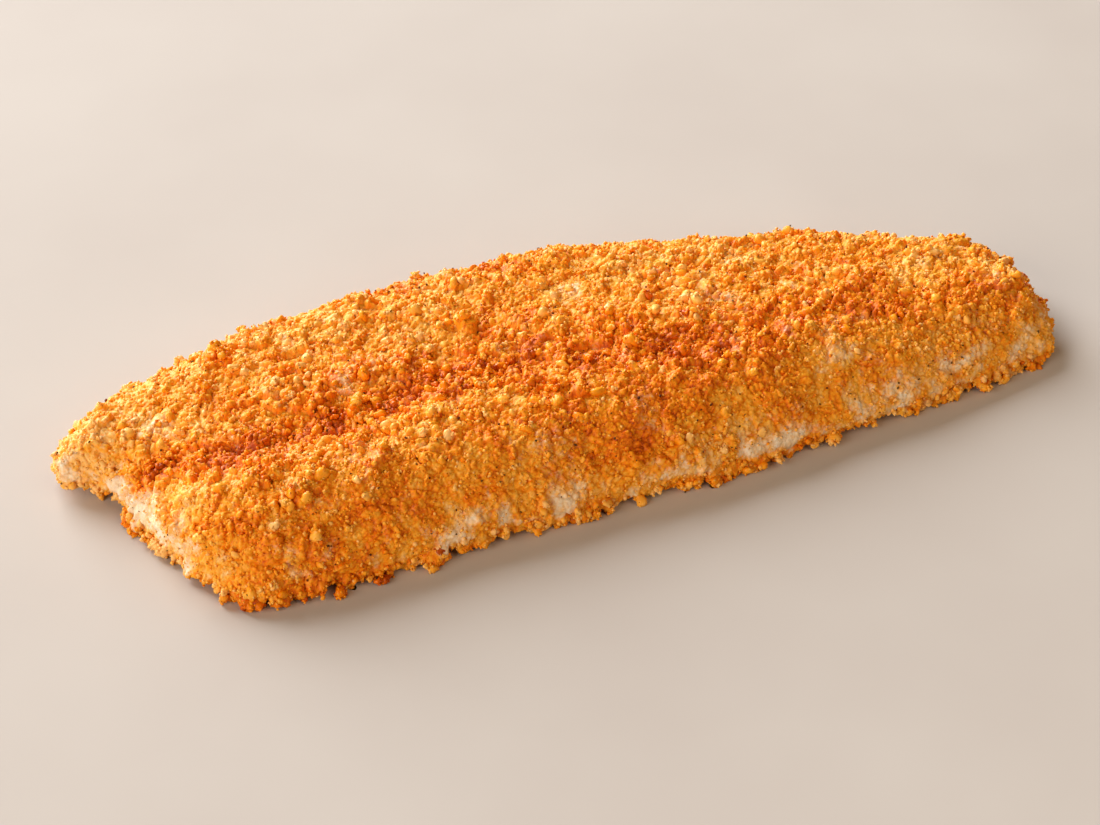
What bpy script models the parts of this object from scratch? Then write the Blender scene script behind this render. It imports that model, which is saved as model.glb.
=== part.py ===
"""Fried fish fillet, breaded and baked golden, lying flat side down.

One solid in metres, +Z up. +X runs from the cut head end to the rounded tail end, -Y is the thick
near side and +Y the thin belly side. The origin is under the middle of the fillet, on the surface
that it rests on.

The form is a coarse cage, shaped by the sizes below, under a Subdivision Surface. Two loins run the
length of the fillet with a shallow groove between them, and the crust adds broad lumps.
"""

import math
from bisect import bisect_right
from collections import namedtuple

import bmesh
import bpy
from mathutils import Vector

MM = 0.001

# The whole fillet, crust included.
LENGTH = 200.0 * MM
WIDTH = 75.5 * MM
THICKNESS = 17.5 * MM

# Cells of the cage along the length, across the width and up the side, and the share by which the
# cells are crowded towards the ends and edges, where the form turns fastest.
CAGE_CELLS = (34, 14, 2)
CROWDING = 0.45
SUBDIVISION_LEVELS = 1

# Plan and heights along the fillet, in millimetres: where the station lies, how far the near and
# far edges stand from the middle line, and how high the crest of each loin is.
Station = namedtuple("Station", "along near_edge far_edge near_crest far_crest")
STATIONS = (
    Station(-100.0, -38.0, 13.0, 13.0, 10.8),
    Station(-86.0, -38.3, 24.5, 14.6, 12.4),
    Station(-60.0, -38.6, 33.0, 16.6, 14.2),
    Station(-20.0, -37.4, 37.6, 17.2, 15.0),
    Station(20.0, -36.0, 36.0, 16.6, 14.6),
    Station(55.0, -33.4, 26.5, 15.0, 13.2),
    Station(82.0, -29.0, 16.5, 13.4, 12.6),
    Station(100.0, -26.5, 7.0, 12.6, 12.2),
)
# Shares of the width between which the top goes over from the near crest to the far crest.
CREST_BLEND = (0.25, 0.75)

# The ends, as (share of the way from the near edge to the far edge, place along the fillet). The
# head end is a slanted cut with a notch where the groove runs out, and the tail end is a bow.
HEAD_END = ((0.0, -73.5), (0.22, -82.0), (0.45, -87.5), (0.58, -90.0), (0.66, -90.5),
            (0.78, -97.0), (0.90, -100.0), (1.0, -98.5))
TAIL_END = ((0.0, 98.0), (0.3, 100.5), (0.6, 101.0), (1.0, 98.5))

# The side wall: its widest line stands this high, and the top and the underside start inside it.
GIRTH_HEIGHT = 3.4
SHOULDER_INSET = 1.4
UNDERSIDE_INSET = 1.0

# How far in from each edge the top takes to climb from the girth to the crest, and how it climbs: a
# quarter of an ellipse for a full edge, and more gently on the near side.
NEAR_ROUNDING = 18.0
FAR_ROUNDING = 16.0
HEAD_ROUNDING = 11.0
TAIL_ROUNDING = 11.5
FULL_CLIMB = 0.5
NEAR_CLIMB = 0.72

# The groove between the loins: its line, its greatest depth, how wide it is, and where along the
# fillet it fades out.
GROOVE_LINE = ((-92.0, 0.0), (-78.0, -6.5), (-55.0, -9.0), (-35.0, -7.0), (-20.0, -3.0),
               (0.0, -6.0), (25.0, -14.0), (60.0, -12.0))
GROOVE_DEPTH = 3.4
GROOVE_HALF_WIDTH = 5.0
GROOVE_FADE = (-50.0, 65.0)

# The lobe at the far corner of the head end curls clear of the surface, and the near edge lifts a
# little in three places, given as (place along the fillet, half length, height). The girth above
# follows each of those lifts by half.
LOBE_CENTRE = (-102.0, 13.0)
LOBE_RADIUS = 23.0
LOBE_LIFT = 2.6
EDGE_LIFTS = ((-30.0, 14.0, 0.9), (52.0, 9.0, 1.9), (84.0, 7.0, 1.5))
EDGE_LIFT_REACH = 5.0
GIRTH_LIFT_SHARE = 0.5

# Broad lumps of the crust.
LUMP_SIZE = 11.0
LUMP_HEIGHT = 2.2

CRUST_COLOR = (0.62, 0.24, 0.045, 1.0)
CRUST_ROUGHNESS = 0.6


def clear_scene():
    """Remove every object that the open file holds."""
    for old in list(bpy.data.objects):
        bpy.data.objects.remove(old, do_unlink=True)


def smooth_curve(points, place):
    """Height at a place on the smooth curve through (place, height) points."""
    places = [point[0] for point in points]
    heights = [point[1] for point in points]
    place = min(max(place, places[0]), places[-1])
    left = min(bisect_right(places, place) - 1, len(points) - 2)
    span = places[left + 1] - places[left]
    share = (place - places[left]) / span

    def slope(index):
        before = max(index - 1, 0)
        after = min(index + 1, len(points) - 1)
        return (heights[after] - heights[before]) / (places[after] - places[before])

    start = heights[left] * (2 * share**3 - 3 * share**2 + 1)
    end = heights[left + 1] * (3 * share**2 - 2 * share**3)
    start_bend = slope(left) * span * (share**3 - 2 * share**2 + share)
    end_bend = slope(left + 1) * span * (share**3 - share**2)
    return start + end + start_bend + end_bend


def along_stations(column, along):
    """Value of one column of STATIONS at a place along the fillet."""
    return smooth_curve([(station.along, getattr(station, column)) for station in STATIONS], along)


def smoothstep(low, high, value):
    """Share that rises softly from 0 at low to 1 at high."""
    share = min(max((value - low) / (high - low), 0.0), 1.0)
    return share * share * (3.0 - 2.0 * share)


def spread(share):
    """Move an even share of the way towards the nearer end."""
    crowded = 0.5 - 0.5 * math.cos(math.pi * share)
    return (1.0 - CROWDING) * share + CROWDING * crowded


def plan_point(along_share, across_share, inset):
    """Plan position for shares of the length and width, drawn in from the outline by inset."""
    head = smooth_curve(HEAD_END, across_share) + inset
    tail = smooth_curve(TAIL_END, across_share) - inset
    x = head + (tail - head) * spread(along_share)
    near = along_stations("near_edge", x) + inset
    far = along_stations("far_edge", x) - inset
    return x, near + (far - near) * spread(across_share)


def rounding(distance, reach, climb):
    """Share of the full height at a distance in from an edge."""
    share = 1.0 - min(max(distance / reach, 0.0), 1.0)
    return (1.0 - share * share) ** climb


def groove_depth(x, y):
    """Depth of the groove between the loins at a plan position."""
    offset = (y - smooth_curve(GROOVE_LINE, x)) / GROOVE_HALF_WIDTH
    fade = 1.0 - smoothstep(*GROOVE_FADE, x)
    return GROOVE_DEPTH * fade * math.exp(-offset * offset)


def top_height(x, y):
    """Height of the top surface at a plan position."""
    near = along_stations("near_edge", x)
    far = along_stations("far_edge", x)
    across = (y - near) / (far - near)
    head = smooth_curve(HEAD_END, across)
    tail = smooth_curve(TAIL_END, across)
    belly = smoothstep(*CREST_BLEND, across)
    near_crest = along_stations("near_crest", x)
    crest = near_crest + (along_stations("far_crest", x) - near_crest) * belly
    share = rounding(y - near, NEAR_ROUNDING, NEAR_CLIMB)
    share *= rounding(far - y, FAR_ROUNDING, FULL_CLIMB)
    share *= rounding(x - head, HEAD_ROUNDING, FULL_CLIMB)
    share *= rounding(tail - x, TAIL_ROUNDING, FULL_CLIMB)
    return GIRTH_HEIGHT + (crest - GIRTH_HEIGHT) * share - groove_depth(x, y) * share


def lobe_lift(x, y):
    """Rise of the curled lobe at the far corner of the head end."""
    distance = math.hypot(x - LOBE_CENTRE[0], y - LOBE_CENTRE[1]) / LOBE_RADIUS
    return LOBE_LIFT * (1.0 - smoothstep(0.0, 1.0, distance))


def edge_lift(x, y):
    """Rise of the near edge where it stands clear of the surface."""
    inward = max(y - along_stations("near_edge", x), 0.0)
    reach = 1.0 - smoothstep(0.0, EDGE_LIFT_REACH, inward)
    rise = sum(height * math.exp(-((x - place) / half) ** 2) for place, half, height in EDGE_LIFTS)
    return rise * reach


def cage_position(corner):
    """Place of one cage vertex, given its place in a cube that runs from -1 to 1 each way.

    The cube's top becomes the top of the fillet, its middle layer the girth and its underside the
    underside.
    """
    along_share = 0.5 * (corner.x + 1.0)
    across_share = 0.5 * (corner.y + 1.0)
    layer = round(corner.z)
    if layer == 1:
        x, y = plan_point(along_share, across_share, SHOULDER_INSET)
        z = top_height(x, y)
    elif layer == 0:
        x, y = plan_point(along_share, across_share, 0.0)
        z = GIRTH_HEIGHT + GIRTH_LIFT_SHARE * edge_lift(x, y)
    else:
        x, y = plan_point(along_share, across_share, UNDERSIDE_INSET)
        z = edge_lift(x, y)
    return Vector((x, y, z + lobe_lift(x, y))) * MM


def build_cage():
    """Make the cage: a cube cut into cells, each vertex moved to its place on the fillet."""
    cage = bmesh.new()
    bmesh.ops.create_cube(cage, size=2.0)
    for axis, cells in enumerate(CAGE_CELLS):
        edges = [
            edge for edge in cage.edges
            if abs(edge.verts[0].co[axis] - edge.verts[1].co[axis]) > 1.0
        ]
        bmesh.ops.subdivide_edges(cage, edges=edges, cuts=cells - 1, use_grid_fill=True)
    crust = [vert.index for vert in cage.verts if round(vert.co.z) > -1]
    for vert in cage.verts:
        vert.co = cage_position(vert.co)
    mesh = bpy.data.meshes.new("fish_fillet_cage")
    cage.to_mesh(mesh)
    cage.free()
    return mesh, crust


def add_lumps(fillet, crust):
    """Raise broad lumps on the crust, and leave the underside flat."""
    group = fillet.vertex_groups.new(name="crust")
    group.add(crust, 1.0, "REPLACE")
    texture = bpy.data.textures.new("crust_lumps", type="CLOUDS")
    texture.noise_scale = LUMP_SIZE * MM
    texture.noise_depth = 1
    lumps = fillet.modifiers.new("Lumps", "DISPLACE")
    lumps.texture = texture
    lumps.texture_coords = "LOCAL"
    lumps.vertex_group = group.name
    lumps.strength = LUMP_HEIGHT * MM
    lumps.mid_level = 0.5


def fit_to_size(mesh):
    """Bring the finished form to its exact length, width and thickness, centred over the origin."""
    lows = [min(vert.co[axis] for vert in mesh.vertices) for axis in range(3)]
    highs = [max(vert.co[axis] for vert in mesh.vertices) for axis in range(3)]
    for vert in mesh.vertices:
        for axis, size in enumerate((LENGTH, WIDTH, THICKNESS)):
            share = (vert.co[axis] - lows[axis]) / (highs[axis] - lows[axis])
            vert.co[axis] = size * (share - 0.5) if axis < 2 else size * share


def crust_material():
    """Golden breadcrumb crust."""
    material = bpy.data.materials.new("breadcrumb_crust")
    material.use_nodes = True
    shader = material.node_tree.nodes["Principled BSDF"]
    shader.inputs["Base Color"].default_value = CRUST_COLOR
    shader.inputs["Roughness"].default_value = CRUST_ROUGHNESS
    shader.inputs["Metallic"].default_value = 0.0
    return material


def build_fillet(collection):
    """Build the fillet and put it in the collection."""
    cage, crust = build_cage()
    shaped = bpy.data.objects.new("fish_fillet_form", cage)
    collection.objects.link(shaped)
    surface = shaped.modifiers.new("Surface", "SUBSURF")
    surface.levels = SUBDIVISION_LEVELS
    surface.render_levels = SUBDIVISION_LEVELS
    add_lumps(shaped, crust)
    evaluated = shaped.evaluated_get(bpy.context.evaluated_depsgraph_get())
    mesh = bpy.data.meshes.new_from_object(evaluated)
    bpy.data.objects.remove(shaped, do_unlink=True)
    mesh.name = "fish_fillet"
    fit_to_size(mesh)
    mesh.materials.append(crust_material())
    mesh.shade_smooth()
    fillet = bpy.data.objects.new("fish_fillet", mesh)
    collection.objects.link(fillet)
    return fillet


def main():
    """Build the whole object."""
    clear_scene()
    collection = bpy.data.collections.new("fried_fish_fillet")
    bpy.context.scene.collection.children.link(collection)
    build_fillet(collection)


main()
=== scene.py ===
"""Looks of a fried fish fillet: a crumb crust over pale fish, on a plain pale floor.

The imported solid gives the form. Its skin gets the relief of the crust, loose crumbs of several
sizes are stuck all over it, each layer on the ones below, and flecks of spice lie among them.
Lengths on the fillet are in millimetres until a mesh is made, and in metres from there on.
"""

from __future__ import annotations

import logging
import math
from collections.abc import Iterator
from dataclasses import dataclass, field
from enum import Enum

import bmesh
import bpy
import numpy as np
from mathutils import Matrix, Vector


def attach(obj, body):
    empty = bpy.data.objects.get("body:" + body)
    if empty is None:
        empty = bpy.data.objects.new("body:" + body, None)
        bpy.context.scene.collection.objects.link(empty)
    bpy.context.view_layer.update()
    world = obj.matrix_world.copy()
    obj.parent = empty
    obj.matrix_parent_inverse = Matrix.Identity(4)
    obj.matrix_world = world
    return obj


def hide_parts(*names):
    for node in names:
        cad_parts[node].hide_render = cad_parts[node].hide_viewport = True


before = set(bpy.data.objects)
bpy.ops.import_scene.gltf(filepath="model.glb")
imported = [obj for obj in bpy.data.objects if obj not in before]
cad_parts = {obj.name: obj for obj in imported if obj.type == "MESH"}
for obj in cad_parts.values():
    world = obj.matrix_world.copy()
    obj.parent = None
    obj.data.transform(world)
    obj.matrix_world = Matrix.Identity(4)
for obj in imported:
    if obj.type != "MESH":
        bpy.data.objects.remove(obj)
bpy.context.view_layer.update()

MM = 0.001
NODE = "fish_fillet"
LOG = logging.getLogger("fried_fish_fillet")

Array = np.ndarray
Body = bmesh.types.BMesh
Material = bpy.types.Material
Socket = bpy.types.NodeSocket
Tree = bpy.types.NodeTree
Pair = tuple[float, float]
Triple = tuple[float, float, float]

SHADER = "Principled BSDF"
# A Mix node's colour sockets share their names with its number sockets, so they go by place.
MIX_FIRST = 6
MIX_SECOND = 7
MIX_RESULT = 2

# Distances in metres within which vertices become one, in the solid and at a cut.
WELD = 1e-6
CUT_SNAP = 1e-7

# Factors and shifts that scramble a grid cell into a random number.
HASH_AXES = (0x8DA6B343, 0xD8163841, 0xCB1AB31F)
HASH_SEED = 0x9E3779B1
HASH_MIXES = ((15, 0x2C1B3C6D), (12, 0x297A2D39))
HASH_RANGE = 2.0**30
# Bits of that number that place a grain's centre along each axis, and the prime that its draw
# comes from.
CENTRE_BITS = 10
DRAW_STEPS = 4099
# Width of the swells that push packed grains out of shape, as a share of the grains' size.
WARP_WIDTH = 0.8
# How much nearer one centre is than the next where a grain is at its full height.
GRAIN_FLANK = 0.75

# Columns of a crust's state. Lumpiness comes last.
BROAD = slice(0, 3)
COVER = 3
TOAST = 4


# -------- helpers


def linear(hex_color: str) -> tuple[float, float, float, float]:
    """Turn an sRGB colour into linear light.

    Args:
        hex_color: six hexadecimal digits, red first.

    Returns:
        Linear red, green and blue, and full opacity.
    """
    channels = [int(hex_color[at:at + 2], 16) / 255.0 for at in (0, 2, 4)]
    curved = [c / 12.92 if c <= 0.04045 else ((c + 0.055) / 1.055) ** 2.4 for c in channels]
    return curved[0], curved[1], curved[2], 1.0


def ease(low: float, high: float, values: Array) -> Array:
    """Rise softly from 0 at low to 1 at high.

    Args:
        low: value that gives 0.
        high: value that gives 1.
        values: numbers to map.

    Returns:
        Shares from 0 to 1.
    """
    share = np.clip((values - low) / (high - low), 0.0, 1.0)
    return share * share * (3.0 - 2.0 * share)


def from_low(low: float, shares: Array) -> Array:
    """Spread shares of 0 to 1 over the stretch from low to 1."""
    return low + (1.0 - low) * shares


def unit(vectors: Array) -> Array:
    """Vectors of length 1."""
    return vectors / np.linalg.norm(vectors, axis=-1, keepdims=True)


def scramble(cells: Array, seed: int) -> Array:
    """Random whole number under HASH_RANGE for each cell of a grid, the same in every run.

    Args:
        cells: whole-numbered places, n by 3.
        seed: number that tells one field from another.

    Returns:
        One number for each cell.
    """
    key = np.full(len(cells), seed * HASH_SEED % 2**32, dtype=np.uint32)
    for axis, factor in enumerate(HASH_AXES):
        key ^= cells[:, axis].astype(np.uint32) * np.uint32(factor)
    for shift, factor in HASH_MIXES:
        key = (key ^ key >> np.uint32(shift)) * np.uint32(factor)
    return (key ^ key >> np.uint32(15)) >> np.uint32(2)


def smooth_noise(points: Array, size: float, seed: int) -> Array:
    """Even noise from -1 to 1, mostly within a half.

    Args:
        points: places, n by 3.
        size: width of one swell, in the unit of the points.
        seed: number that tells one noise from another.

    Returns:
        One value for each place.
    """
    cells = np.floor(points / size)
    inside = points / size - cells
    share = inside * inside * (3.0 - 2.0 * inside)
    total = np.zeros(len(points))
    for corner in np.ndindex(2, 2, 2):
        weight = np.prod(np.where(corner, share, 1.0 - share), axis=1)
        total += weight * scramble(cells.astype(np.int64) + corner, seed)
    return total / (0.5 * HASH_RANGE) - 1.0


def packed_grains(points: Array, size: float, seed: int, warp: float) -> tuple[Array, Array]:
    """Field of packed round grains with creases between them.

    Args:
        points: places, n by 3.
        size: distance between grains, in the unit of the points.
        seed: number that tells one field from another.
        warp: how far the grains are pushed out of shape, as a share of their size.

    Returns:
        Height at each place, 1 on top of a grain, and the random number of the grain there.
    """
    push = [smooth_noise(points, WARP_WIDTH * size, 7 * seed + axis) for axis in range(3)]
    spots = points / size + warp * np.column_stack(push)
    cells = np.floor(spots).astype(np.int64)
    nearest = np.full(len(points), np.inf)
    second = nearest.copy()
    drawn = np.zeros(len(points), dtype=np.uint32)
    for corner in np.ndindex(3, 3, 3):
        cell = cells + corner - 1
        number = scramble(cell, seed)
        fields = [number >> np.uint32(CENTRE_BITS * axis) & np.uint32(2**CENTRE_BITS - 1)
                  for axis in range(3)]
        centre = cell + np.column_stack(fields) / 2.0**CENTRE_BITS
        away = np.sqrt(((spots - centre) ** 2).sum(axis=1))
        closer = away < nearest
        second = np.where(closer, nearest, np.minimum(second, away))
        nearest[closer] = away[closer]
        drawn[closer] = number[closer]
    slope = 1.0 - np.clip((second - nearest) / GRAIN_FLANK, 0.0, 1.0)
    return np.sqrt(1.0 - slope * slope), drawn % DRAW_STEPS / DRAW_STEPS


def add_node(tree: Tree, kind: str, inputs: dict[str | int, object] | None = None,
             **settings: object) -> bpy.types.Node:
    """Add a node with its settings and links.

    Args:
        tree: node tree that takes the node.
        kind: Blender's name of the node's type.
        inputs: what each input socket holds, either a value or the output socket that feeds it.
        **settings: properties of the node itself.

    Returns:
        The new node.
    """
    node = tree.nodes.new(kind)
    for name, value in settings.items():
        setattr(node, name, value)
    for name, value in (inputs or {}).items():
        if isinstance(value, Socket):
            tree.links.new(value, node.inputs[name])
        else:
            node.inputs[name].default_value = value
    return node


# -------- finishes


@dataclass(frozen=True)
class Pattern:
    """One noise of a finish. size is the width of its swells in millimetres."""

    size: float
    detail: float
    roughness: float

    def inputs(self, place: Socket) -> dict[str | int, object]:
        """Sockets of a noise node that draws the pattern at its real size."""
        return {"Vector": place, "Scale": 1.0 / (self.size * MM), "Detail": self.detail,
                "Roughness": self.roughness}


def swing(noise: Socket, reach: float) -> dict[str | int, object]:
    """Sockets of a multiply and add that turn noise into a change up or down, reach in all."""
    return {0: noise, 1: reach, 2: -0.5 * reach}


class Colors(Enum):
    """Rows of sRGB colours with their places from 0 to 1."""

    CRUST = ((0, "FEC77C"), (0.15, "FEBE61"), (0.3, "FDB340"), (0.45, "FAA523"),
             (0.6, "F59411"), (0.75, "ED7F07"), (0.88, "DA6804"), (1, "B54B04"))
    FISH = ((0.3, "FCEBD8"), (0.7, "F5CE98"))
    SPICE = ((0.35, "4A200C"), (0.5, "6E3512"), (0.62, "5A4418"))
    FLOOR = ((0.3, "C1BBB6"), (0.7, "C6C1BC"))

    def fill(self, ramp: bpy.types.ColorRamp) -> None:
        """Put the colours in a ramp.

        Args:
            ramp: the ramp, with two colours or more to start from.
        """
        while len(ramp.elements) < len(self.value):
            ramp.elements.new(1.0)
        for element, (place, hex_color) in zip(ramp.elements, self.value):
            element.position = place
            element.color = linear(hex_color)


@dataclass(frozen=True)
class Finish:
    """What the finishes share: a name, typical gloss and how light goes in and comes out."""

    name: str
    roughness: float
    refraction: float = 1.47
    gloss: float = 0.2
    subsurface: float = 0.0
    scatter_reach: float = 0.5
    scatter: Triple = (1.0, 0.85, 0.7)

    def dress(self, tree: Tree, place: Socket) -> None:
        """Give the shader what its sockets can't hold by themselves. Each finish has its own."""
        raise NotImplementedError

    def build(self) -> Material:
        """Make the material.

        Returns:
            The material.
        """
        material = bpy.data.materials.new(self.name)
        material.use_nodes = True
        tree = material.node_tree
        values = {"Roughness": self.roughness, "IOR": self.refraction,
                  "Specular IOR Level": self.gloss, "Subsurface Weight": self.subsurface,
                  "Subsurface Radius": self.scatter, "Subsurface Scale": self.scatter_reach * MM}
        for name, value in values.items():
            tree.nodes[SHADER].inputs[name].default_value = value
        self.dress(tree, add_node(tree, "ShaderNodeTexCoord").outputs["Object"])
        return material


@dataclass(frozen=True)
class FriedCrumb(Finish):
    """Breadcrumb fried in oil: a dry foam soaked at its surface, so it is a little translucent,
    goes from straw to deep orange as it browns, and glints where the oil lies on it.
    """

    name: str = "fried_breadcrumb"
    roughness: float = 0.28
    subsurface: float = 0.3
    scatter_reach: float = 0.25
    # Real pores are 0.05 to 0.2 mm, too fine to show, so they are drawn coarser.
    pores: Pattern = Pattern(0.38, 2.0, 0.7)
    pore_depth: float = 0.09
    tone: Pattern = Pattern(1.0, 2.0, 0.6)
    tone_change: float = 0.3

    def color(self, tree: Tree, place: Socket) -> Socket:
        """Colour the crust by how toasted the mesh says it is, painted light and shade included,
        with a fine change of tone.

        Args:
            tree: the material's nodes.
            place: its Object coordinates.

        Returns:
            The colour.
        """
        tone = add_node(tree, "ShaderNodeTexNoise", self.tone.inputs(place))
        change = add_node(tree, "ShaderNodeMath", swing(tone.outputs["Fac"], self.tone_change),
                          operation="MULTIPLY_ADD")
        # The toast attribute also carries painted shade in the creases and along the groove, and
        # painted light and shade on the two sides of each crumb.
        toast = add_node(tree, "ShaderNodeAttribute", attribute_name="toast")
        level = add_node(tree, "ShaderNodeMath", {0: toast.outputs["Fac"], 1: change.outputs[0]},
                         operation="ADD", use_clamp=True)
        ramp = add_node(tree, "ShaderNodeValToRGB", {"Fac": level.outputs[0]})
        Colors.CRUST.fill(ramp.color_ramp)
        return ramp.outputs["Color"]

    def dress(self, tree: Tree, place: Socket) -> None:
        """Give the shader its colour and the relief of the pores.

        Args:
            tree: the material's nodes.
            place: its Object coordinates.
        """
        pores = add_node(tree, "ShaderNodeTexNoise", self.pores.inputs(place))
        relief = add_node(tree, "ShaderNodeBump",
                          {"Height": pores.outputs["Fac"], "Strength": 1.0,
                           "Distance": self.pore_depth * MM})
        shader = tree.nodes[SHADER]
        tree.links.new(self.color(tree, place), shader.inputs["Base Color"])
        tree.links.new(relief.outputs["Normal"], shader.inputs["Normal"])


@dataclass(frozen=True)
class CrumbCoating(FriedCrumb):
    """Crumbs and batter baked together on white fish: orange where they are thick, and mottled
    with the beige of the fish where they are thin.
    """

    name: str = "crumb_coating_on_fish"
    roughness: float = 0.45
    subsurface: float = 0.5
    scatter_reach: float = 0.5
    mottle: Pattern = Pattern(1.3, 3.0, 0.75)
    bare_below: float = 0.2
    full_above: float = 0.9
    mottle_change: float = 1.1

    def color(self, tree: Tree, place: Socket) -> Socket:
        """Mix the colours of fish and crust by how thickly the mesh says that crumbs lie.

        Args:
            tree: the material's nodes.
            place: its Object coordinates.

        Returns:
            The colour.
        """
        mottle = add_node(tree, "ShaderNodeTexNoise", self.mottle.inputs(place)).outputs["Fac"]
        change = add_node(tree, "ShaderNodeMath", swing(mottle, self.mottle_change),
                          operation="MULTIPLY_ADD")
        cover = add_node(tree, "ShaderNodeAttribute", attribute_name="cover")
        laid = add_node(tree, "ShaderNodeMath", {0: cover.outputs["Fac"], 1: change.outputs[0]},
                        operation="ADD")
        share = add_node(tree, "ShaderNodeMapRange",
                         {"Value": laid.outputs[0], "From Min": self.bare_below,
                          "From Max": self.full_above}, interpolation_type="SMOOTHSTEP")
        fish = add_node(tree, "ShaderNodeValToRGB", {"Fac": mottle})
        Colors.FISH.fill(fish.color_ramp)
        mix = add_node(tree, "ShaderNodeMix",
                       {"Factor": share.outputs[0], MIX_FIRST: fish.outputs["Color"],
                        MIX_SECOND: super().color(tree, place)}, data_type="RGBA")
        return mix.outputs[MIX_RESULT]


@dataclass(frozen=True)
class CloudyFinish(Finish):
    """Finish whose colour only drifts along a row of colours, in clouds."""

    colors: Colors = Colors.FLOOR
    clouds: Pattern = Pattern(60.0, 3.0, 0.5)

    def dress(self, tree: Tree, place: Socket) -> None:
        """Give the shader its colour.

        Args:
            tree: the material's nodes.
            place: its Object coordinates.
        """
        noise = add_node(tree, "ShaderNodeTexNoise", self.clouds.inputs(place))
        ramp = add_node(tree, "ShaderNodeValToRGB", {"Fac": noise.outputs["Fac"]})
        self.colors.fill(ramp.color_ramp)
        tree.links.new(ramp.outputs["Color"], tree.nodes[SHADER].inputs["Base Color"])


@dataclass(frozen=True)
class GroundSpice(CloudyFinish):
    """Ground pepper and dried herb, scorched by the oil: nearly black, with brown and green."""

    name: str = "ground_spice"
    roughness: float = 0.7
    refraction: float = 1.45
    colors: Colors = Colors.SPICE
    clouds: Pattern = Pattern(7.0, 1.0, 0.5)


@dataclass(frozen=True)
class MattFloor(CloudyFinish):
    """Smooth matt stone-coloured board: plain, with the faintest cloudiness."""

    name: str = "matt_floor"
    roughness: float = 0.8
    refraction: float = 1.45


# -------- how the crust varies


@dataclass(frozen=True)
class Patch:
    """Round area where the crust differs. x, y and radius are in millimetres, and change is added
    at its middle.
    """

    x: float
    y: float
    radius: float
    change: float = 1.0


@dataclass(frozen=True)
class Swell:
    """Noise over the crust. size is the width of its swells in millimetres, and seed tells it from
    the other noises.
    """

    size: float
    seed: int

    def at(self, points: Array) -> Array:
        """Value at each place, mostly within a half either way."""
        return smooth_noise(points, self.size, self.seed)


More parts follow.
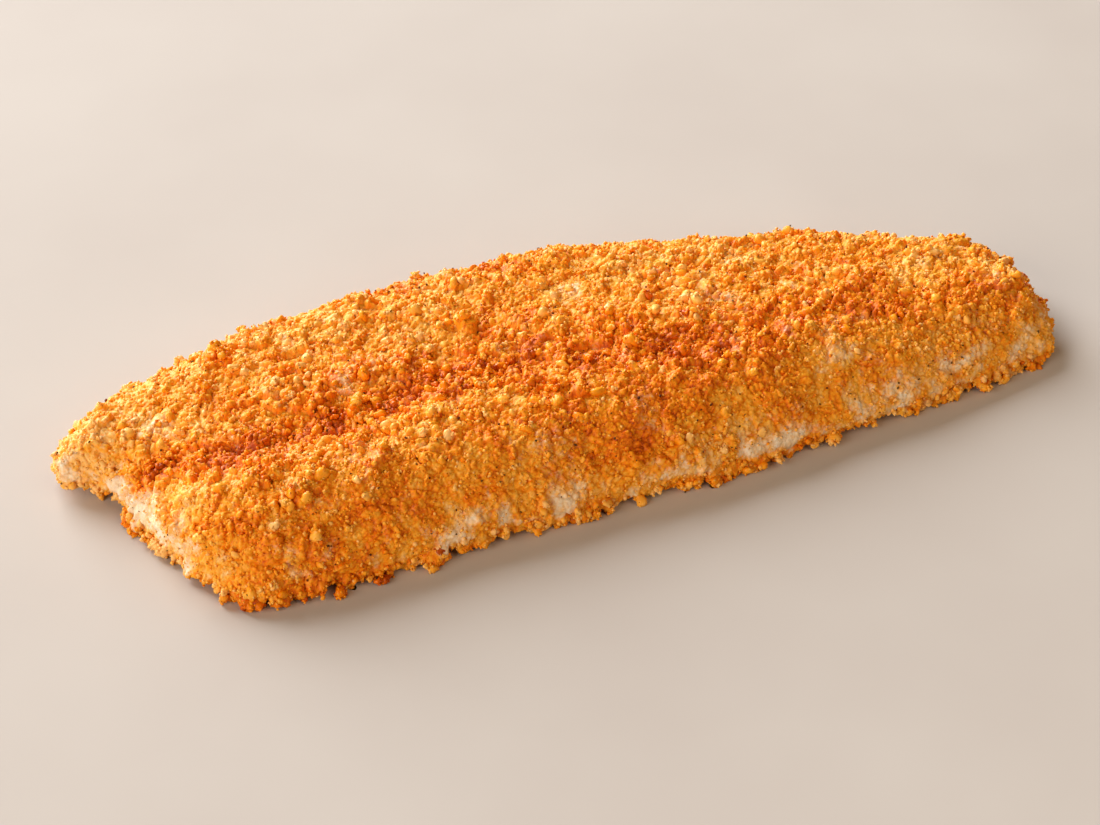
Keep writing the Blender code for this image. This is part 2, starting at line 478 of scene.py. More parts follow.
@dataclass(frozen=True)
class CrustMap:
    """How toasted the crust is, how thickly crumbs cover it and how lumpy it is, everywhere.

    Places are in millimetres. A pair of limits says where something starts and where it is full,
    along a height, along Y or along the upward part of the direction that the surface faces.
    """

    toast_patches: tuple[Patch, ...] = (
        Patch(-83.0, -3.0, 3.2, 0.22), Patch(-49.0, -5.5, 2.4, 0.42),
        Patch(-57.0, -8.0, 6.0, 0.12), Patch(18.0, -19.0, 8.0, 0.12),
        Patch(26.0, -15.0, 4.0, 0.1), Patch(9.0, -29.0, 7.0, 0.12),
        Patch(88.0, -15.0, 6.0, 0.14), Patch(-62.0, 20.0, 4.0, 0.2),
        Patch(-18.0, -7.0, 3.0, -0.22), Patch(-2.0, -8.0, 2.2, -0.18),
        Patch(-96.0, 6.0, 10.0, -0.34), Patch(-88.0, -16.0, 9.0, -0.18),
        Patch(-58.0, -26.0, 12.0, -0.11), Patch(-75.0, 20.0, 14.0, -0.13),
        Patch(-70.0, -24.0, 12.0, -0.13), Patch(82.0, -4.0, 26.0, -0.19),
        Patch(-44.5, -8.5, 2.2, -0.12),
    )
    thin_patches: tuple[Patch, ...] = (
        Patch(9.0, 14.5, 4.0, 0.36), Patch(-45.0, 1.5, 3.5, 0.32),
        Patch(-81.0, 6.0, 4.0, 0.32), Patch(47.0, -24.0, 4.0, 0.16),
    )
    bare_patches: tuple[Patch, ...] = (
        Patch(-99.0, 4.0, 6.5, 0.42), Patch(-91.0, -8.0, 5.0, 0.44),
        Patch(-87.0, -19.0, 6.5, 0.46), Patch(-25.0, -35.5, 2.2, 0.08),
        Patch(-13.0, -37.5, 1.8, 0.1), Patch(6.0, -36.0, 2.2, 0.15),
        Patch(24.0, -35.5, 1.8, 0.2), Patch(33.0, -34.5, 2.6, 0.16),
        Patch(50.0, -32.5, 2.4, 0.18), Patch(56.5, -31.5, 2.0, 0.18),
        Patch(66.0, -30.0, 2.2, 0.16), Patch(84.0, -28.5, 2.2, 0.18),
    )
    groove: tuple[Pair, ...] = (
        (-90.0, -3.0), (-74.0, -7.5), (-58.0, -8.5), (-40.0, -7.5), (-22.0, -3.0), (0.0, -7.0),
        (20.0, -13.0), (48.0, -11.0),
    )
    groove_width: float = 6.8
    corner: Pair = (-64.0, -37.0)
    corner_reach: Pair = (15.0, 13.0)
    wall_from_top: Pair = (0.62, 0.25)
    wall_from_below: Pair = (-0.75, -0.3)
    skirt_height: Pair = (12.0, 4.0)
    skirt_facing: Pair = (0.95, 0.7)
    fringe_height: float = 2.4
    # Shares of the fringe's height.
    fringe_fade: Pair = (1.5, 0.6)
    fringe_facing: Pair = (-0.95, -0.6)

    top_cover: float = 0.98
    wall_cover: float = 0.76
    corner_cover: float = 0.55
    far_cover: float = 0.3
    far_cover_from: Pair = (-5.0, 10.0)
    fringe_cover: float = 0.6
    cover_swell: Swell = Swell(7.0, 3)
    top_swell: float = 0.2
    wall_swell: float = 0.35
    cover_blotch: Swell = Swell(2.6, 8)
    top_blotch: float = 0.2
    wall_blotch: float = 0.35

    toast: float = 0.455
    wide_swell: Swell = Swell(17.0, 11)
    wide_toast: float = 0.08
    close_swell: Swell = Swell(4.5, 17)
    close_toast: float = 0.18
    side_paleness: float = 0.11
    corner_toast: float = 0.18
    far_paleness: float = 0.08
    far_paleness_from: Pair = (0.0, 20.0)
    # Partly painted shade: the groove is drawn darker, as well as its crumbs being more toasted.
    groove_toast_and_shade: float = 0.23
    fringe_toast: float = 0.06
    underside_toast: float = 0.16
    underside_facing: Pair = (-0.4, -0.9)

    least_lumps: float = 0.12
    sandy_lumps: float = 0.4
    rough_lumps: float = 0.5
    rough_from: Pair = (-30.0, -12.0)
    lump_swell: Swell = Swell(9.0, 41)
    swell_lumps: float = 0.5
    groove_lumps: float = 0.35
    wall_smoothness: float = 0.3
    fringe_lumps: float = 0.4

    @staticmethod
    def patches(points: Array, rows: tuple[Patch, ...]) -> Array:
        """Sum of the patches at each place.

        Args:
            points: places in millimetres, n by 3.
            rows: patches to add up.

        Returns:
            One value for each place.
        """
        total = np.zeros(len(points))
        for patch in rows:
            away = np.hypot(points[:, 0] - patch.x, points[:, 1] - patch.y) / patch.radius
            total += patch.change * np.exp(-away * away)
        return total

    def wall(self, normals: Array) -> Array:
        """Share by which the surface is a side wall, and neither top nor underside."""
        return (ease(*self.wall_from_top, normals[:, 2])
                * ease(*self.wall_from_below, normals[:, 2]))

    def side(self, points: Array, normals: Array) -> Array:
        """Share by which a place is on a side wall, or low where crumbs lie ever thinner."""
        skirt = ease(*self.skirt_height, points[:, 2]) * ease(*self.skirt_facing, normals[:, 2])
        return np.maximum(self.wall(normals), skirt)

    def near_corner(self, points: Array) -> Array:
        """Share by which a place is at the thick near corner of the head end."""
        x, y = ((points[:, axis] - self.corner[axis]) / self.corner_reach[axis] for axis in (0, 1))
        return np.exp(-(x**2) - y**2)

    def in_groove(self, points: Array) -> Array:
        """Share by which a place is in the groove between the loins."""
        line = np.interp(points[:, 0], *np.transpose(self.groove))
        return np.exp(-(((points[:, 1] - line) / self.groove_width) ** 2))

    def fringe(self, points: Array, normals: Array) -> Array:
        """Share by which a place is in the fringe of crumbs round the foot of the side."""
        start, full = (share * self.fringe_height for share in self.fringe_fade)
        return ease(start, full, points[:, 2]) * ease(*self.fringe_facing, normals[:, 2])

    def cover_at(self, points: Array, normals: Array) -> Array:
        """Work out how thickly crumbs lie.

        Args:
            points: places in millimetres, n by 3.
            normals: outward directions there.

        Returns:
            Cover at each place, from 0 for bare coating to 1 for a full crust.
        """
        swell = self.cover_swell.at(points)
        side = self.side(points, normals)
        thin = self.wall_cover + self.corner_cover * self.near_corner(points)
        thin += self.wall_swell * swell
        thin += self.far_cover * ease(*self.far_cover_from, points[:, 1])
        cover = (1.0 - side) * (self.top_cover + self.top_swell * swell) + side * thin
        cover += (self.top_blotch + self.wall_blotch * side) * self.cover_blotch.at(points)
        cover -= self.patches(points, self.thin_patches) * (1.0 - side)
        cover -= self.patches(points, self.bare_patches)
        cover += self.fringe_cover * self.fringe(points, normals)
        return np.clip(cover, 0.0, 1.0)

    def toast_at(self, points: Array, normals: Array) -> Array:
        """Work out how toasted the crust is, with painted shade along the groove.

        Args:
            points: places in millimetres, n by 3.
            normals: outward directions there.

        Returns:
            Toast at each place, from 0 for straw to 1 for dark brown.
        """
        toast = self.toast + self.wide_toast * self.wide_swell.at(points)
        toast += self.close_toast * self.close_swell.at(points)
        toast += self.patches(points, self.toast_patches)
        toast -= self.side_paleness * self.side(points, normals)
        toast += self.corner_toast * self.near_corner(points)
        toast -= self.far_paleness * ease(*self.far_paleness_from, points[:, 1])
        # Partly painted shade: the groove is drawn darker, as well as its crumbs being more
        # toasted.
        toast += self.groove_toast_and_shade * self.in_groove(points)
        toast += self.fringe_toast * self.fringe(points, normals)
        toast += self.underside_toast * ease(*self.underside_facing, normals[:, 2])
        return toast

    def lumpiness_at(self, points: Array, normals: Array) -> Array:
        """Work out how coarse the crust is.

        Args:
            points: places in millimetres, n by 3.
            normals: outward directions there.

        Returns:
            Lumpiness at each place, from 0 for sandy to 1 for full lumps.
        """
        rough = np.maximum(ease(*self.rough_from, points[:, 1]), self.near_corner(points))
        lumps = self.sandy_lumps + self.rough_lumps * rough
        lumps += self.swell_lumps * self.lump_swell.at(points)
        lumps += self.groove_lumps * self.in_groove(points)
        lumps = lumps * (1.0 - self.wall_smoothness * self.wall(normals))
        lumps += self.fringe_lumps * self.fringe(points, normals)
        return np.clip(lumps, self.least_lumps, 1.0)


@dataclass
class Crust:
    """Triangles that crumbs can stick to, in millimetres, with the crust's state at each vertex:
    outward direction of the broad form, cover, toast and lumpiness in the columns of state.
    """

    points: Array
    normals: Array
    triangles: Array
    state: Array

    def joined(self, other: Crust) -> Crust:
        """Join this surface and another.

        Args:
            other: the other surface.

        Returns:
            Both as one.
        """
        return Crust(
            np.vstack((self.points, other.points)),
            np.vstack((self.normals, other.normals)),
            np.vstack((self.triangles, other.triangles + len(self.points))),
            np.vstack((self.state, other.state)),
        )

    def areas(self) -> Array:
        """Area of each triangle."""
        first, second, third = (self.points[self.triangles[:, at]] for at in range(3))
        return 0.5 * np.linalg.norm(np.cross(second - first, third - first), axis=1)

    def middle(self, values: Array) -> Array:
        """Mean of a vertex value over each triangle."""
        return values[self.triangles].mean(axis=1)

    def broad(self) -> Array:
        """Outward direction of the broad form at each triangle."""
        return self.middle(self.state[:, BROAD])

    def scatter(self, draw: np.random.Generator, density: Array,
                count: int) -> tuple[Array, Array, Array]:
        """Pick places at random.

        Args:
            draw: random numbers.
            density: relative number of places for each square millimetre of each triangle.
            count: how many places.

        Returns:
            Place, outward direction and state at each.
        """
        chance = self.areas() * density
        chosen = self.triangles[draw.choice(len(chance), size=count, p=chance / chance.sum())]
        root = np.sqrt(draw.random(count))
        turn = draw.random(count)
        weights = np.stack((1.0 - root, root * (1.0 - turn), root * turn), axis=1)[:, :, None]
        places, normals, state = ((values[chosen] * weights).sum(axis=1)
                                  for values in (self.points, self.normals, self.state))
        return places, unit(normals), state


# -------- pieces


def finish_piece(name: str, mesh: bpy.types.Mesh, material: Material) -> None:
    """Make a piece of the fillet from its mesh, and say what it belongs to.

    Args:
        name: name of the piece.
        mesh: its mesh, in metres and in its place.
        material: its finish.
    """
    mesh.name = name
    mesh.materials.clear()
    mesh.materials.append(material)
    piece = bpy.data.objects.new(name, mesh)
    bpy.context.scene.collection.objects.link(piece)
    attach(piece, "root")
    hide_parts(NODE)
    LOG.info("%s: %d faces", name, len(mesh.polygons))


def set_number(mesh: bpy.types.Mesh, name: str, values: Array) -> None:
    """Give each vertex of a mesh a number for its material."""
    made = mesh.attributes.new(name, "FLOAT", "POINT")
    made.data.foreach_set("value", values.astype(np.float32))


@dataclass(frozen=True)
class Grain:
    """One size of grain in the relief of the crust.

    size and height are in millimetres. lowest is the share of the height that the lowest grain
    has. tint is how much the colour changes from grain to grain, and crease how much it is
    painted darker, as painted shade, from the top of a grain down into the creases beside it.
    """

    size: float
    height: float
    seed: int
    lowest: float
    tint: float
    crease: float
    warp: float = 0.25

    def at(self, points: Array) -> tuple[Array, Array]:
        """Height of the dome at each place, from 0 to 1, and the random number of its grain."""
        return packed_grains(points, self.size, self.seed, self.warp)


@dataclass
class CrustSkin:
    """The coated fish itself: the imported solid's form with the relief of a crumb crust.

    Sizes are in millimetres. The part that shows is cut across into closed lengths, because a
    piece stays under 200,000 triangles, and the underside is a coarser piece of its own.
    """

    cell: float = 0.25
    underside_cell: float = 0.6
    smoothing: float = 1.0
    smoothing_passes: float = 3.0
    inset: float = 1.3
    clump: Grain = Grain(4.0, 2.3, 5, lowest=0.2, tint=0.20, crease=0.12, warp=0.5)
    grain: Grain = Grain(1.5, 0.9, 9, lowest=0.2, tint=0.16, crease=0.34)
    seed: Grain = Grain(0.75, 0.46, 13, lowest=0.4, tint=0.10, crease=0.24)
    # Shares that are left of the grains and the inset on sandy crust, and of the relief and its
    # change of colour, painted crease shade included, where the crust is thin.
    sandy_grain: float = 0.4
    sandy_inset: float = 0.5
    thin_relief: float = 0.6
    thin_shade: float = 0.4
    thin_paleness: float = 0.3
    # Height of a dome whose colour the painted crease shade leaves as it is; lower down it is
    # drawn darker.
    crease_level: float = 0.78
    fringe_reach: float = 1.2
    dents: float = 0.6
    underside_facing: Pair = (-0.55, -0.9)
    # Toast from which crumbs must be thick, as bare fish doesn't brown.
    toast_covers: Pair = (0.45, 0.75)
    seam: float = 0.9
    seam_overlap: float = 0.1
    cuts: tuple[float, ...] = (-60.0, -23.0, 13.0, 50.0)
    crust: CrustMap = field(default_factory=CrustMap)

    def form(self, cell: float) -> bpy.types.Mesh:
        """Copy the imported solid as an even, smooth mesh.

        Args:
            cell: width of its faces.

        Returns:
            The new mesh.
        """
        body = bmesh.new()
        body.from_mesh(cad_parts[NODE].data)
        bmesh.ops.remove_doubles(body, verts=body.verts, dist=WELD)
        mesh = bpy.data.meshes.new("fillet_form")
        body.to_mesh(mesh)
        body.free()
        shaped = bpy.data.objects.new("fillet_form", mesh)
        bpy.context.scene.collection.objects.link(shaped)
        remesh = shaped.modifiers.new("Even", "REMESH")
        remesh.mode = "VOXEL"
        remesh.voxel_size = cell * MM
        # The reach of smoothing grows with the square root of its passes.
        smooth = shaped.modifiers.new("Smooth", "SMOOTH")
        smooth.factor = 0.5
        smooth.iterations = round(self.smoothing_passes * (self.smoothing / cell) ** 2)
        ready = shaped.evaluated_get(bpy.context.evaluated_depsgraph_get())
        even = bpy.data.meshes.new_from_object(ready)
        bpy.data.objects.remove(shaped, do_unlink=True)
        bpy.data.meshes.remove(mesh)
        return even

    def relief(self, points: Array, broad: Array, cover: Array,
               lumpy: Array) -> tuple[Array, Array]:
        """Work out the relief of the crust.

        Args:
            points: places on the broad form.
            broad: outward directions there.
            cover: how thickly crumbs lie there.
            lumpy: how coarse the crust is there.

        Returns:
            How far out each place moves, and how much more toasted it is drawn, painted crease
            shade included.
        """
        clump, clump_draw = self.clump.at(points)
        grain, grain_draw = self.grain.at(points)
        seed, seed_draw = self.seed.at(points)
        rise = self.clump.height * lumpy * clump * from_low(self.clump.lowest, clump_draw)
        rise += (self.grain.height * from_low(self.sandy_grain, lumpy) * grain
                 * from_low(self.grain.lowest, grain_draw))
        rise += self.seed.height * seed * from_low(self.seed.lowest, seed_draw)
        rise -= self.inset * from_low(self.sandy_inset, lumpy)
        rise = rise * from_low(self.thin_relief, cover)
        rise += self.fringe_reach * self.crust.fringe(points, broad) * clump * clump_draw
        under = ease(*self.underside_facing, broad[:, 2])
        rise = rise * (1.0 - under) - under * self.dents * (1.0 - grain * clump)
        shade = (self.clump.tint * (clump_draw - 0.5) + self.grain.tint * (grain_draw - 0.5)
                 + self.seed.tint * (seed_draw - 0.5))
        # Painted shade: the colour darkens from the top of each grain down into the creases
        # between grains.
        shade += (self.grain.crease * (self.crease_level - grain)
                  + self.seed.crease * (self.crease_level - seed)
                  + self.clump.crease * (self.crease_level - clump))
        return rise, shade

    def raised(self, cell: float) -> tuple[Body, Crust]:
        """Make the form at one fineness and raise the relief on it.

        Args:
            cell: width of its faces.

        Returns:
            The whole skin as a body, ready to be cut, and as a crust.
        """
        mesh = self.form(cell)
        points = np.empty(3 * len(mesh.vertices))
        mesh.vertices.foreach_get("co", points)
        points = points.reshape(-1, 3) / MM
        broad = np.array([normal.vector[:] for normal in mesh.vertex_normals])
        cover = self.crust.cover_at(points, broad)
        lumpy = self.crust.lumpiness_at(points, broad)
        rise, shade = self.relief(points, broad, cover, lumpy)
        toast = self.crust.toast_at(points, broad)
        cover = np.maximum(cover, ease(*self.toast_covers, toast))
        toast += shade * from_low(self.thin_shade, cover) - self.thin_paleness * (1.0 - cover)
        toast = np.clip(toast, 0.0, 1.0)
        points += broad * rise[:, None]
        points[:, 2] = np.maximum(points[:, 2], 0.0)
        mesh.vertices.foreach_set("co", (points * MM).ravel())
        mesh.update()
        normals = np.array([normal.vector[:] for normal in mesh.vertex_normals])
        mesh.calc_loop_triangles()
        triangles = np.empty(3 * len(mesh.loop_triangles), dtype=np.int32)
        mesh.loop_triangles.foreach_get("vertices", triangles)
        set_number(mesh, "toast", toast)
        set_number(mesh, "cover", cover)
        mesh.shade_smooth()
        body = bmesh.new()
        body.from_mesh(mesh)
        bpy.data.meshes.remove(mesh)
        state = np.column_stack((broad, cover, toast, lumpy))
        return body, Crust(points, normals, triangles.reshape(-1, 3), state)

    @staticmethod
    def cut(body: Body, place: float, way: Triple) -> None:
        """Cut off what lies past a plane and close the cut.

        Args:
            body: what is cut.
            place: how far the plane is from the origin, along way.
            way: direction that the plane faces, towards what is cut off.
        """
        cut = bmesh.ops.bisect_plane(
            body, geom=body.verts[:] + body.edges[:] + body.faces[:], dist=CUT_SNAP,
            plane_co=Vector(way) * place * MM, plane_no=way, clear_outer=True,
        )["geom_cut"]
        rim = [edge for edge in cut if isinstance(edge, bmesh.types.BMEdge) and edge.is_boundary]
        for face in bmesh.ops.holes_fill(body, edges=rim, sides=0)["faces"]:
            face.smooth = False

    def lengths(self, whole: Body) -> Iterator[Body]:
        """Cut the skin across into lengths and close them.

        Args:
            whole: the whole skin, which is used up.

        Yields:
            One closed length at a time, head end first.
        """
        for place in self.cuts:
            part = whole.copy()
            self.cut(part, place, (1.0, 0.0, 0.0))
            self.cut(whole, -place, (-1.0, 0.0, 0.0))
            yield part
        yield whole

    @staticmethod
    def piece(name: str, body: Body, material: Material) -> None:
        """Make a piece of a closed body.

        Args:
            name: name of the piece.
            body: the body, which is used up.
            material: its finish.
        """
        mesh = bpy.data.meshes.new(name)
        body.to_mesh(mesh)
        body.free()
        finish_piece(name, mesh, material)

    def build(self, material: Material) -> Crust:
        """Make the pieces.

        Args:
            material: their finish.

        Returns:
            The surface, for the crumbs.
        """
        whole, crust = self.raised(self.cell)
        for number, length in enumerate(self.lengths(whole), 1):
            self.cut(length, -self.seam, (0.0, 0.0, -1.0))
            self.piece(f"crust_skin_{number}", length, material)
        under, _ = self.raised(self.underside_cell)
        self.cut(under, self.seam + self.seam_overlap, (0.0, 0.0, 1.0))
        self.piece("crust_underside", under, material)
        return crust


@dataclass
class CrumbShapes:
    """Small stock of crumb shapes: each is a knot of round lobes, the way torn bread dries."""

    seed: int
    rings: int
    count: int = 16
    lobes: int = 6
    # Sizes are shares of the crumb's width.
    lobe_offset: float = 0.26
    lobe_radius: Pair = (0.27, 0.36)
    dents: float = 0.14

    def one(self, number: int) -> tuple[Array, Array]:
        """Shape one crumb about 1 across.

        Args:
            number: which shape of the stock.

        Returns:
            Its vertices and its triangles.
        """
        draw = np.random.default_rng((self.seed, number))
        centres = self.lobe_offset * unit(draw.normal(size=(self.lobes, 3)))
        radii = draw.uniform(*self.lobe_radius, self.lobes)
        lump = bmesh.new()
        bmesh.ops.create_icosphere(lump, subdivisions=self.rings, radius=1.0)
        ways = unit(np.array([vert.co[:] for vert in lump.verts]))
        along = ways @ centres.T
        reach = along + np.sqrt(along**2 - self.lobe_offset**2 + radii**2)
        dent = 1.0 - self.dents * draw.random((len(ways), 1))
        points = ways * reach.max(axis=1, keepdims=True) * dent
        triangles = np.array([[vert.index for vert in face.verts] for face in lump.faces])
        lump.free()
        return points, triangles

    def build(self) -> tuple[Array, Array]:
        """Shape the whole stock.

        Returns:
            Vertices and triangles, with the shapes along the first axis.
        """
        shapes = [self.one(number) for number in range(self.count)]
        return np.stack([points for points, _ in shapes]), np.stack([faces for _, faces in shapes])


def random_turns(draw: np.random.Generator, count: int) -> Array:
    """Draw rotations that favour no direction.

    Args:
        draw: random numbers.
        count: how many.

    Returns:
        Rotation matrices, count by 3 by 3.
    """
    w, x, y, z = unit(draw.normal(size=(count, 4))).T
    rows = (
        (1 - 2 * (y * y + z * z), 2 * (x * y - w * z), 2 * (x * z + w * y)),
        (2 * (x * y + w * z), 1 - 2 * (x * x + z * z), 2 * (y * z - w * x)),
        (2 * (x * z - w * y), 2 * (y * z + w * x), 1 - 2 * (x * x + y * y)),
    )
    return np.stack([np.stack(row, axis=1) for row in rows], axis=1)


@dataclass
class CrumbLayer:
    """One kind of crumb, hundreds or thousands of them joined in one mesh.

    Sizes are in millimetres. sink is how deep a crumb sits in what it sticks to, as a share of its
    width. by_cover and by_lumps are the powers of cover and lumpiness that its density follows,
    and clumping is how strongly it gathers in clusters. small_bias is the power that makes most
    crumbs small, and thin_width the share of its width that a crumb keeps where cover is thin.
    """

    name: str
    count: int
    width: Pair
    rings: int
    seed: int
    sink: Pair = (0.25, 0.6)
    by_cover: float = 1.0
    by_lumps: float = 0.5
    fringe_boost: float = 0.0
    clumping: float = 0.0
    clump_size: float = 4.0
    clump_seed: int = 31
    toast_shift: float = 0.0
    toast_spread: float = 0.14
    least_toast: float = 0.04
    # Painted light and shade: how much paler each crumb is drawn on its outward side and darker on
    # its side towards the crust.
    tip_light_and_shade: float = 0.16
    stretch: float = 0.3
    small_bias: float = 1.7
    thin_width: float = 0.75
    least_cover: float = 0.02
    facing: Pair = (-0.97, -0.7)
    lowest_place: float = 0.1
    floor_gap: float = 0.02
    crust: CrustMap = field(default_factory=CrustMap)

    def clusters(self, points: Array) -> Array:
        """How much denser than elsewhere this kind lies at each place, in clusters."""
        noise = smooth_noise(points, self.clump_size, self.clump_seed + self.seed)
        return np.exp(self.clumping * noise)

    def density(self, crust: Crust) -> Array:
        """Work out how densely this kind lies on a crust.

        Args:
            crust: the crust.

        Returns:
            Relative number of crumbs for each square millimetre of each triangle.
        """
        points = crust.middle(crust.points)
        broad = crust.broad()
        cover, _, lumpy = crust.middle(crust.state[:, COVER:]).T
        amount = (self.least_cover + cover) ** self.by_cover * lumpy ** self.by_lumps
        amount += self.fringe_boost * self.crust.fringe(points, broad)
        if self.clumping > 0.0:
            amount *= self.clusters(points)
        return amount * ease(*self.facing, broad[:, 2]) * (points[:, 2] > self.lowest_place)

    def build(self, crust: Crust, material: Material) -> Crust:
        """Stick the crumbs to a crust and make the piece.

        Args:
            crust: what they stick to.
            material: their finish.

        Returns:
            The crumbs' own surface, for the next layer.
        """
        draw = np.random.default_rng(self.seed)
        places, outward, state = crust.scatter(draw, self.density(crust), self.count)
        state[:, TOAST] += self.toast_shift + self.toast_spread * draw.normal(size=self.count)
        low, high = self.width
        width = low + (high - low) * draw.random(self.count) ** self.small_bias
        width *= from_low(self.thin_width, state[:, COVER])
        places += outward * (width * (0.5 - draw.uniform(*self.sink, self.count)))[:, None]
        shapes, faces = CrumbShapes(self.seed, self.rings).build()
        pick = draw.integers(len(shapes), size=self.count)
        scale = width[:, None] * (1.0 + self.stretch * draw.uniform(-1.0, 1.0, (self.count, 3)))
        offsets = np.einsum("nij,nkj->nki", random_turns(draw, self.count),
                            shapes[pick] * scale[:, None, :])
        points = offsets + places[:, None, :]
        points[:, :, 2] = np.maximum(points[:, :, 2], self.floor_gap)
        size = shapes.shape[1]
        triangles = faces[pick] + size * np.arange(self.count)[:, None, None]
        ways = unit(offsets)
        state = np.repeat(state[:, None, :], size, axis=1)
        # Painted light and shade: the outward side of each crumb is drawn paler, and its side
        # towards the crust darker.
        state[:, :, TOAST] -= self.tip_light_and_shade * (ways * outward[:, None, :]).sum(axis=2)
        made = Crust(points.reshape(-1, 3), ways.reshape(-1, 3), triangles.reshape(-1, 3),
                     state.reshape(-1, state.shape[2]))
        mesh = bpy.data.meshes.new(self.name)
        mesh.from_pydata((made.points * MM).tolist(), [], made.triangles.tolist())
        set_number(mesh, "toast", np.clip(made.state[:, TOAST], self.least_toast, 1.0))
        mesh.shade_smooth()
        finish_piece(self.name, mesh, material)
        return made


@dataclass
class FringeCrumbs(CrumbLayer):
    """Crumbs that gathered round the foot of the fillet."""

    def density(self, crust: Crust) -> Array:
        """Only in the fringe, in clusters."""
        points = crust.middle(crust.points)
        return self.crust.fringe(points, crust.broad()) * self.clusters(points)


@dataclass
class HeapedCrumbs(CrumbLayer):
    """Crumbs that stuck together in a few small heaps."""

    heaps: tuple[Patch, ...] = (
        Patch(-18.0, -7.5, 1.5), Patch(-21.0, -9.5, 1.3),
        Patch(-2.0, -8.5, 1.3), Patch(14.5, -7.0, 1.3),
        Patch(-8.0, -15.0, 1.5), Patch(-44.5, -8.5, 1.6),
        Patch(-49.0, -5.5, 1.6), Patch(-83.0, -3.0, 2.0),
        Patch(78.0, 14.0, 1.4),
    )

    def density(self, crust: Crust) -> Array:
        """Only at the heaps, on the upper side."""
        points = crust.middle(crust.points)
        return self.crust.patches(points, self.heaps) * (points[:, 2] > self.crust.fringe_height)


@dataclass
class SpiceFlecks(CrumbLayer):
    """Flecks of ground spice: dark grains lying among the crumbs."""

    stretch: float = 0.5
    facing: Pair = (-0.9, -0.3)

    def density(self, crust: Crust) -> Array:
        """Spread them evenly over the fillet, apart from the underside.

        Args:
            crust: the crust.

        Returns:
            Relative number of flecks for each square millimetre of each triangle.
        """
        broad = crust.broad()
        outward = np.clip((broad * crust.middle(crust.normals)).sum(axis=1), 0.0, 1.0)
        return ease(*self.facing, broad[:, 2]) * outward**2


# -------- the studio


@dataclass(frozen=True)
class SoftLamp:
    """Square soft lamp: how far right of the camera and how high it stands, in degrees, its power
    in watts and its colour.
    """

    name: str
    azimuth: float
    elevation: float
    power: float
    color: str


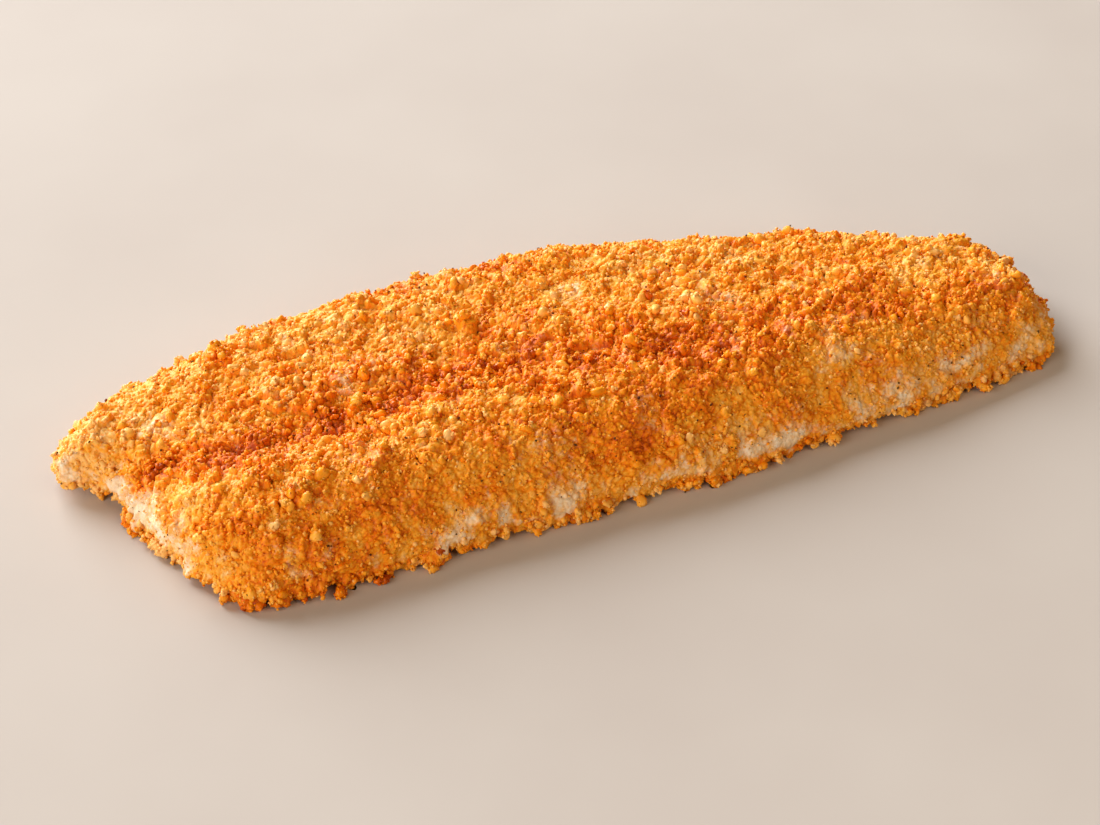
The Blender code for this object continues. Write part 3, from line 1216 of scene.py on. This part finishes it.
@dataclass
class Studio:
    """Plain pale floor, soft lamps and the camera. The main lamp stands low behind the fillet, on
    the left, so that it rakes the crust. Sizes are in metres.
    """

    azimuth: float = -22.37
    elevation: float = 38.0
    distance: float = 0.59
    lens: float = 98.2  # in millimetres, on Blender's own film width
    aim: Triple = (-0.0037, -0.00295, 0.0)
    floor_size: float = 6.0
    lamps: tuple[SoftLamp, ...] = (
        SoftLamp("key", -140.0, 27.0, 93.0, "FFFDFC"),
        SoftLamp("fill_left", -46.0, 18.0, 36.0, "FFF0DE"),
        SoftLamp("fill_right", 60.0, 42.0, 13.0, "FFD8A8"),
    )
    lamp_size: float = 1.6
    lamp_distance: float = 2.0
    sky: str = "FFEBD2"
    sky_strength: float = 0.03

    def toward(self, azimuth: float, elevation: float) -> Vector:
        """Find the direction to a lamp or the camera.

        Args:
            azimuth: how far right of the camera it stands, in degrees.
            elevation: how high it stands, in degrees.

        Returns:
            Direction of length 1.
        """
        turn = math.radians(self.azimuth + azimuth)
        rise = math.radians(elevation)
        level = math.cos(rise)
        return Vector((math.sin(turn) * level, -math.cos(turn) * level, math.sin(rise)))

    @staticmethod
    def place(name: str, data: bpy.types.ID, spot: Vector, target: Vector) -> bpy.types.Object:
        """Put a lamp or the camera at a spot and turn it to a target.

        Args:
            name: name of the object.
            data: the lamp or the camera.
            spot: where it stands.
            target: what it points at.

        Returns:
            The object.
        """
        thing = bpy.data.objects.new(name, data)
        bpy.context.scene.collection.objects.link(thing)
        thing.location = spot
        thing.rotation_euler = (target - spot).to_track_quat("-Z", "Y").to_euler()
        return thing

    def camera(self) -> None:
        """Make the camera."""
        data = bpy.data.cameras.new("camera")
        data.lens = self.lens
        target = Vector(self.aim)
        spot = target + self.distance * self.toward(0.0, self.elevation)
        bpy.context.scene.camera = self.place("camera", data, spot, target)

    def light(self, lamp: SoftLamp) -> None:
        """Set up one lamp.

        Args:
            lamp: where it stands and what light it gives.
        """
        data = bpy.data.lights.new(lamp.name, "AREA")
        data.shape = "SQUARE"
        data.size = self.lamp_size
        data.energy = lamp.power
        data.color = linear(lamp.color)[:3]
        spot = self.lamp_distance * self.toward(lamp.azimuth, lamp.elevation)
        self.place(lamp.name, data, spot, Vector())

    def floor(self, material: Material) -> None:
        """Lay the floor.

        Args:
            material: its finish.
        """
        slab = bmesh.new()
        bmesh.ops.create_grid(slab, x_segments=1, y_segments=1, size=0.5 * self.floor_size)
        mesh = bpy.data.meshes.new("floor")
        slab.to_mesh(mesh)
        slab.free()
        mesh.materials.append(material)
        floor = bpy.data.objects.new("floor", mesh)
        bpy.context.scene.collection.objects.link(floor)

    def sky_light(self) -> None:
        """Light the scene evenly from all round."""
        world = bpy.data.worlds.new("sky")
        world.use_nodes = True
        background = world.node_tree.nodes["Background"]
        background.inputs["Color"].default_value = linear(self.sky)
        background.inputs["Strength"].default_value = self.sky_strength
        bpy.context.scene.world = world

    def build(self) -> None:
        """Set up the whole studio."""
        self.floor(MattFloor().build())
        for lamp in self.lamps:
            self.light(lamp)
        self.sky_light()
        bpy.context.scene.view_settings.view_transform = "Standard"
        self.camera()


# -------- main


def main() -> None:
    """Build the fillet's looks and the studio."""
    logging.basicConfig(level=logging.INFO, format="%(message)s")
    crumb = FriedCrumb().build()
    crust = CrustSkin().build(CrumbCoating().build())
    layers = (
        CrumbLayer("coarse_crumbs", 900, (1.6, 2.8), 2, seed=1, sink=(0.3, 0.6), by_cover=2.0,
                   by_lumps=2.5, fringe_boost=0.6, clumping=2.5, toast_shift=-0.08),
        HeapedCrumbs("heaped_crumbs", 150, (0.9, 1.5), 2, seed=8, sink=(-0.2, 0.2)),
        FringeCrumbs("fringe_crumbs", 620, (1.2, 2.6), 2, seed=7, sink=(0.15, 0.55), clumping=2.2),
        CrumbLayer("medium_crumbs", 2450, (0.8, 1.4), 2, seed=2, by_cover=1.2, by_lumps=1.0,
                   fringe_boost=0.6, clumping=1.5),
        CrumbLayer("small_crumbs_golden", 9800, (0.55, 1.0), 1, seed=3, toast_shift=-0.12,
                   by_cover=0.4, by_lumps=0.2, clumping=0.8, clump_size=3.0, fringe_boost=0.3),
        CrumbLayer("small_crumbs_toasted", 9800, (0.5, 0.95), 1, seed=4, toast_shift=0.04,
                   by_cover=1.2, by_lumps=0.2, clumping=0.8, clump_size=3.0, fringe_boost=0.3),
        CrumbLayer("crumb_dust", 9800, (0.35, 0.7), 1, seed=5, by_cover=0.3, by_lumps=0.0),
    )
    for layer in layers:
        crust = crust.joined(layer.build(crust, crumb))
    flecks = SpiceFlecks("spice_flecks", 800, (0.25, 0.65), 1, seed=6, sink=(0.1, 0.35))
    flecks.build(crust, GroundSpice().build())
    Studio().build()


if __name__ == "__main__":
    main()
